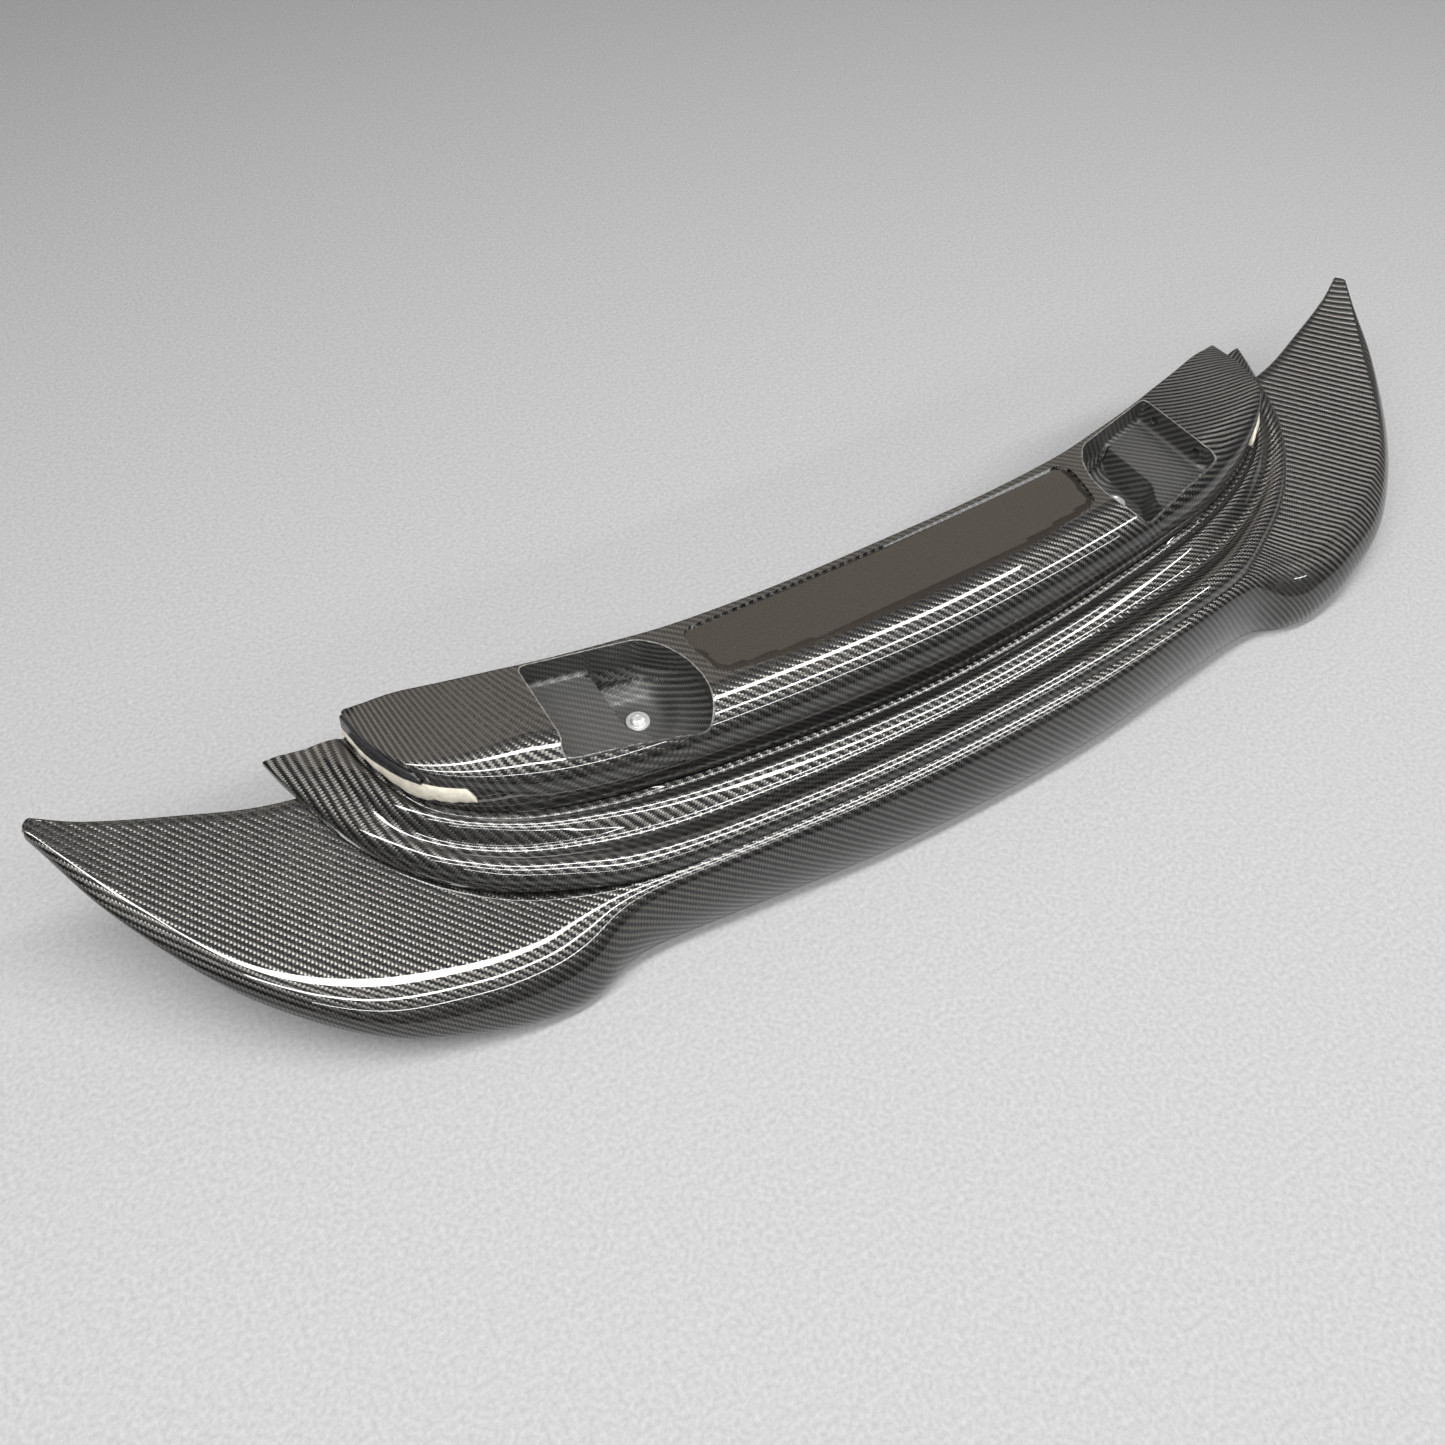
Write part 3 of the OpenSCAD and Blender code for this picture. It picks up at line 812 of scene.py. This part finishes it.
def bond_bead(side):
    """Pale adhesive along the tub's foot, with a ragged lower edge."""
    x, reach, wall, outward = end_wall(BEAD_FROM)
    k = np.arange(len(x))
    ragged = 0.5 * np.sin(k * 0.9) + 0.4 * np.sin(k * 0.37) + 0.3 * np.sin(k * 2.3)
    low = np.maximum(np.interp(x, *BEAD_BASE) + ragged, wall[:, 0, 2])
    high = np.interp(x, *SEAL_BASE) - 0.3
    close = np.sqrt(np.clip(reach / 6, 0.08, 1))
    bulge = 1 + 0.12 * np.sin(k * 0.53)
    section = ((0.1, 0), (0.9, 0), (1.9, 0.06), (2.4, 0.2), (2.6, 0.45), (2.4, 0.7), (1.7, 0.9),
               (0.8, 1), (0.1, 1))
    section = [(gap * bulge, share) for gap, share in section]
    grid = wall_strip(wall, outward, low, low + (high - low) * close, section)
    band(f"{NAMES[side]}_bead", grid, side, "adhesive", ADHESIVE, f"{NAMES[side]}_bond_bead")


def band(name, grid, side, slot, material, node):
    """Closed strip: a grid whose rows go round its section."""
    grid = grid * (side, 1, 1)
    n, m = grid.shape[:2]
    faces = [(i * m + j, (i + 1) * m + j, (i + 1) * m + (j + 1) % m, i * m + (j + 1) % m)
             for i in range(n - 1) for j in range(m)]
    faces += [tuple(range(m)), tuple(range((n - 1) * m, n * m))[::-1]]
    if side > 0:
        faces = [f[::-1] for f in faces]
    flat = grid.reshape(-1, 3)
    piece = make_mesh(name, flat, faces, flat[:, :2], 50)
    finish_piece(piece, slot, material, node)


# --- materials ----------------------------------------------------------------------------


class Nodes:
    """Short way to write shader nodes."""

    def __init__(self, name):
        self.material = bpy.data.materials.new(name)
        self.material.use_nodes = True
        self.tree = self.material.node_tree
        self.shader = self.tree.nodes["Principled BSDF"]

    def new(self, kind, inputs=(), **settings):
        node = self.tree.nodes.new(kind)
        for key, value in settings.items():
            setattr(node, key, value)
        for key, value in dict(inputs).items():
            self.put(node.inputs[key], value)
        return node

    def put(self, socket, value):
        if isinstance(value, bpy.types.NodeSocket):
            self.tree.links.new(value, socket)
        else:
            socket.default_value = value

    def math(self, operation, *values, clamp=False):
        node = self.new("ShaderNodeMath", enumerate(values), operation=operation, use_clamp=clamp)
        return node.outputs[0]

    def mix(self, factor, a, b):
        """a where factor is 0, b where it is 1."""
        return self.math("MULTIPLY_ADD", factor, self.math("SUBTRACT", b, a), a)

    def colour(self, factor, a, b):
        node = self.new("ShaderNodeMix", data_type="RGBA")
        self.put(node.inputs[0], factor)
        self.put(node.inputs[6], (*a, 1) if isinstance(a, tuple) else a)
        self.put(node.inputs[7], (*b, 1) if isinstance(b, tuple) else b)
        return node.outputs[2]

    def noise(self, vector, scale, detail=2):
        return self.new("ShaderNodeTexNoise", {"Vector": vector, "Scale": scale,
                                               "Detail": detail}).outputs[0]

    def where(self):
        return self.new("ShaderNodeTexCoord").outputs["Object"]

    def bump(self, height, strength, distance):
        return self.new("ShaderNodeBump", {"Height": height, "Strength": strength,
                                           "Distance": distance}).outputs[0]

    def set(self, **values):
        for key, value in values.items():
            self.put(self.shader.inputs[key.replace("_", " ")], value)
        return self.material


def woven(name, tow, over, dark, light, roughness, metallic, tilt, coat, coat_rough, spread):
    """Cloth of flat tows, over cells up and over cells down: 2 is a 2/2 twill, 1 a plain weave.
    Its diagonals run to +X and -Y. Each tow leans across its width and bends where it dives,
    its shine is stretched along its fibres by spread, and a clear coat lies on top."""
    n = Nodes(name)
    uv = n.new("ShaderNodeUVMap", uv_map="weave").outputs[0]
    split = n.new("ShaderNodeSeparateXYZ", {0: uv})
    u = n.math("DIVIDE", split.outputs[0], tow)
    v = n.math("DIVIDE", split.outputs[1], tow)
    column, row = n.math("FLOOR", u), n.math("FLOOR", v)
    repeat = 2 * over
    phase = n.math("FLOORED_MODULO", n.math("ADD", column, row), repeat)
    is_warp = n.math("LESS_THAN", phase, over - 0.5)
    warp_along = n.math("FLOORED_MODULO", n.math("ADD", v, column), repeat)
    weft_along = n.math("SUBTRACT", n.math("FLOORED_MODULO", n.math("ADD", u, row), repeat), over)
    along = n.math("SUBTRACT", n.math("DIVIDE", n.mix(is_warp, weft_along, warp_along), over), 0.5)
    across = n.math("SUBTRACT", n.mix(is_warp, n.math("FRACT", v), n.math("FRACT", u)), 0.5)
    lean = n.math("MULTIPLY", n.math("SINE", n.math("MULTIPLY", across, math.pi)), tilt)
    crimp = n.math("MULTIPLY", along, tilt * 0.9)
    nx = n.mix(is_warp, crimp, lean)
    ny = n.mix(is_warp, lean, crimp)
    packed = n.new("ShaderNodeCombineXYZ", {0: n.math("MULTIPLY_ADD", nx, 0.5, 0.5),
                                            1: n.math("MULTIPLY_ADD", ny, 0.5, 0.5), 2: 1.0})
    normal = n.new("ShaderNodeNormalMap", {"Color": packed.outputs[0], "Strength": 1.0},
                   uv_map="weave").outputs[0]
    tangent = n.new("ShaderNodeTangent", direction_type="UV_MAP", uv_map="weave").outputs[0]
    side = n.new("ShaderNodeVectorMath", {0: n.new("ShaderNodeNewGeometry").outputs["Normal"],
                                          1: tangent}, operation="CROSS_PRODUCT").outputs[0]
    grain = n.new("ShaderNodeMix", data_type="VECTOR")
    n.put(grain.inputs[0], is_warp)
    n.put(grain.inputs[4], side)
    n.put(grain.inputs[5], tangent)
    gap = n.math("SMOOTH_MIN", n.math("MULTIPLY", n.math("ABSOLUTE", across), 2), 1, 0.1)
    gap = n.math("POWER", gap, 4)
    ends = n.math("POWER", n.math("MULTIPLY", n.math("ABSOLUTE", along), 2), 6)
    hollow = n.math("MAXIMUM", gap, ends)
    tow_id = n.new("ShaderNodeCombineXYZ", {0: column, 1: row})
    speckle = n.new("ShaderNodeTexWhiteNoise", {"Vector": tow_id.outputs[0]}).outputs[0]
    # Painted sheen: warp cells take the light colour and weft cells the dark one. This stands in
    # for the shine that changes with the tows' direction. The speckle and drift below add a real
    # random tone to each tow.
    sheen_and_tone = n.mix(is_warp, 0.0, 1.0)
    sheen_and_tone = n.math("MULTIPLY_ADD", n.math("SUBTRACT", speckle, 0.5), 0.3, sheen_and_tone)
    drift = n.noise(n.where(), 7)
    sheen_and_tone = n.math("MULTIPLY_ADD", n.math("SUBTRACT", drift, 0.5), 0.5, sheen_and_tone, clamp=True)
    fibre_and_sheen = n.colour(sheen_and_tone, dark, light)
    colour = n.colour(n.math("MULTIPLY", hollow, 0.75), fibre_and_sheen, (0.004, 0.004, 0.005))
    peel = n.bump(n.noise(n.where(), 40, 1), 0.06, 0.0006)
    return n.set(Base_Color=colour, Roughness=roughness, Metallic=metallic, Normal=normal,
                 Anisotropic=spread, Tangent=grain.outputs[1],
                 Coat_Weight=coat, Coat_Roughness=coat_rough, Coat_IOR=1.6, Coat_Normal=peel)


def resin():
    n = Nodes("clear_resin")
    streak = n.noise(n.where(), 300, 3)
    return n.set(Base_Color=n.colour(streak, (0.02, 0.02, 0.018), (0.20, 0.195, 0.18)),
                 Roughness=n.math("MULTIPLY_ADD", streak, 0.3, 0.25))


def rubber():
    n = Nodes("seal_rubber")
    grain = n.noise(n.where(), 900, 2)
    return n.set(Base_Color=n.colour(grain, (0.008, 0.008, 0.009), (0.02, 0.02, 0.022)),
                 Roughness=n.math("MULTIPLY_ADD", grain, 0.18, 0.16),
                 Normal=n.bump(grain, 0.08, 0.0002))


def adhesive():
    n = Nodes("bead_adhesive")
    lumps = n.noise(n.where(), 180, 4)
    return n.set(Base_Color=n.colour(lumps, (0.34, 0.31, 0.24), (0.66, 0.63, 0.54)),
                 Roughness=n.math("MULTIPLY_ADD", lumps, 0.3, 0.35),
                 Normal=n.bump(lumps, 0.5, 0.0012))


def zinc():
    n = Nodes("bright_zinc")
    brush = n.noise(n.where(), 1500, 3)
    spangle = n.noise(n.where(), 250, 2)
    return n.set(Base_Color=n.colour(spangle, (0.62, 0.63, 0.65), (0.92, 0.92, 0.90)),
                 Metallic=0.85, Roughness=n.math("MULTIPLY_ADD", brush, 0.25, 0.2),
                 Normal=n.bump(brush, 0.15, 0.0002))


def foam():
    n = Nodes("core_foam")
    cells = n.new("ShaderNodeTexVoronoi", {"Vector": n.where(), "Scale": 700}).outputs[0]
    return n.set(Base_Color=n.colour(cells, (0.55, 0.47, 0.26), (0.80, 0.73, 0.50)),
                 Roughness=0.9, Normal=n.bump(cells, 0.6, 0.0008))


def plywood():
    n = Nodes("birch_plywood")
    wave = n.new("ShaderNodeTexWave", {"Vector": n.where(), "Scale": 90, "Distortion": 3,
                                       "Detail": 3}, bands_direction="Z").outputs[1]
    return n.set(Base_Color=n.colour(wave, (0.42, 0.29, 0.16), (0.70, 0.54, 0.34)),
                 Roughness=n.math("MULTIPLY_ADD", wave, 0.2, 0.5), Normal=n.bump(wave, 0.2, 0.0004))


def aluminium():
    n = Nodes("milled_aluminium")
    mill = n.new("ShaderNodeTexWave", {"Vector": n.where(), "Scale": 400, "Distortion": 1},
                 bands_direction="Y").outputs[1]
    return n.set(Base_Color=n.colour(mill, (0.60, 0.61, 0.62), (0.78, 0.79, 0.80)), Metallic=1.0,
                 Roughness=n.math("MULTIPLY_ADD", mill, 0.15, 0.3),
                 Normal=n.bump(mill, 0.1, 0.0001))


def floor_cloth():
    n = Nodes("pale_floor")
    loops = n.noise(n.where(), 260, 3)
    return n.set(Base_Color=n.colour(loops, (0.19, 0.19, 0.192), (0.33, 0.33, 0.332)),
                 Roughness=0.95, Normal=n.bump(loops, 0.35, 0.002))


# --- stage --------------------------------------------------------------------------------


def floor():
    size = 5
    mesh = bpy.data.meshes.new("floor")
    mesh.from_pydata([(-size, -size, 0), (size, -size, 0), (size, size, 0), (-size, size, 0)], [],
                     [(0, 1, 2, 3)])
    plane = bpy.data.objects.new("floor", mesh)
    bpy.context.scene.collection.objects.link(plane)
    plane.data.materials.append(floor_cloth())


def soft_light(name, place, length, width, power, tint=(1, 1, 1)):
    """Long soft ceiling light along X, turned about that line to face the wing."""
    data = bpy.data.lights.new(name, "AREA")
    data.shape = "RECTANGLE"
    data.size, data.size_y, data.energy = length, width, power
    data.color = tint
    light = bpy.data.objects.new(name, data)
    light.location = place
    light.rotation_euler = (math.atan2(-place[1], place[2]), 0, 0)
    bpy.context.scene.collection.objects.link(light)


def camera():
    data = bpy.data.cameras.new("camera")
    data.sensor_width = 36
    data.lens = 32.4
    data.shift_y = -0.0329
    eye = bpy.data.objects.new("camera", data)
    eye.location = (-0.5412, -0.5914, 0.9395)
    eye.rotation_euler = Vector((0.3357, 0.5576, -0.759)).to_track_quat("-Z", "Y").to_euler()
    bpy.context.scene.collection.objects.link(eye)
    bpy.context.scene.camera = eye


def world():
    """Even room light, a little brighter overhead."""
    sky = bpy.data.worlds.new("room")
    sky.use_nodes = True
    bpy.context.scene.world = sky
    tree = sky.node_tree
    way = tree.nodes.new("ShaderNodeTexCoord")
    split = tree.nodes.new("ShaderNodeSeparateXYZ")
    ramp = tree.nodes.new("ShaderNodeValToRGB")
    ramp.color_ramp.elements[0].position = 0.0
    ramp.color_ramp.elements[0].color = (0.05, 0.05, 0.05, 1)
    ramp.color_ramp.elements[1].position = 1.0
    ramp.color_ramp.elements[1].color = (0.32, 0.32, 0.325, 1)
    tree.links.new(way.outputs["Generated"], split.inputs[0])
    tree.links.new(split.outputs[2], ramp.inputs[0])
    tree.links.new(ramp.outputs[0], tree.nodes["Background"].inputs[0])
    tree.nodes["Background"].inputs[1].default_value = 1.0


# --- the scene ----------------------------------------------------------------------------

NAMES = {-1: "left", 1: "right"}
# In each cloth, dark and light are a painted sheen: dark goes on the weft cells and light on the
# warp cells.
CARBON = woven("twill_glossy", TOW, over=2, dark=(0.006, 0.006, 0.006),
               light=(0.135, 0.129, 0.118), roughness=0.36, metallic=0.9, tilt=0.3,
               coat=1.0, coat_rough=0.02, spread=0.85)
MATT = woven("twill_matt", TOW, over=2, dark=(0.018, 0.018, 0.017),
             light=(0.075, 0.074, 0.068), roughness=0.5, metallic=0.2, tilt=0.3,
             coat=0.25, coat_rough=0.3, spread=0.6)
PANEL_CARBON = woven("plain_weave_glossy", FINE_TOW, over=1, dark=(0.010, 0.007, 0.004),
                     light=(0.045, 0.032, 0.020), roughness=0.4, metallic=0.8, tilt=0.25,
                     coat=1.0, coat_rough=0.02, spread=0.6)
RESIN = resin()
RUBBER = rubber()
ADHESIVE = adhesive()
ZINC = zinc()

camera()
world()
floor()
soft_light("strip_above", (-0.8, -0.1, 2.6), 5.2, 0.32, 143)
soft_light("strip_front", (-0.2, -1.5, 2.2), 6, 0.16, 100)
soft_light("strip_low", (-0.2, -2.3, 1.5), 6, 0.05, 30)
soft_light("panel_back", (0.4, 2.3, 2.4), 5, 1.2, 13, (1, 0.90, 0.76))

blade_top()
blade_bottom()
fairing()
mounting_tub()
centre_panel()
for SIDE in (-1, 1):
    well_liner(SIDE)
    well_lip(SIDE)
    bolt_washer(SIDE)
    pocket_bolt(SIDE)
    edge_seal(SIDE)
    bond_bead(SIDE)

INNER = {"core": foam(), "rib": plywood(), "plate": aluminium()}
for node, thing in frame["nodes"].items():
    kind = node.split("_")[-1]
    if kind in INNER:
        thing.data.materials.clear()
        thing.data.materials.append(INNER[kind])

bpy.context.scene.view_settings.view_transform = "Standard"
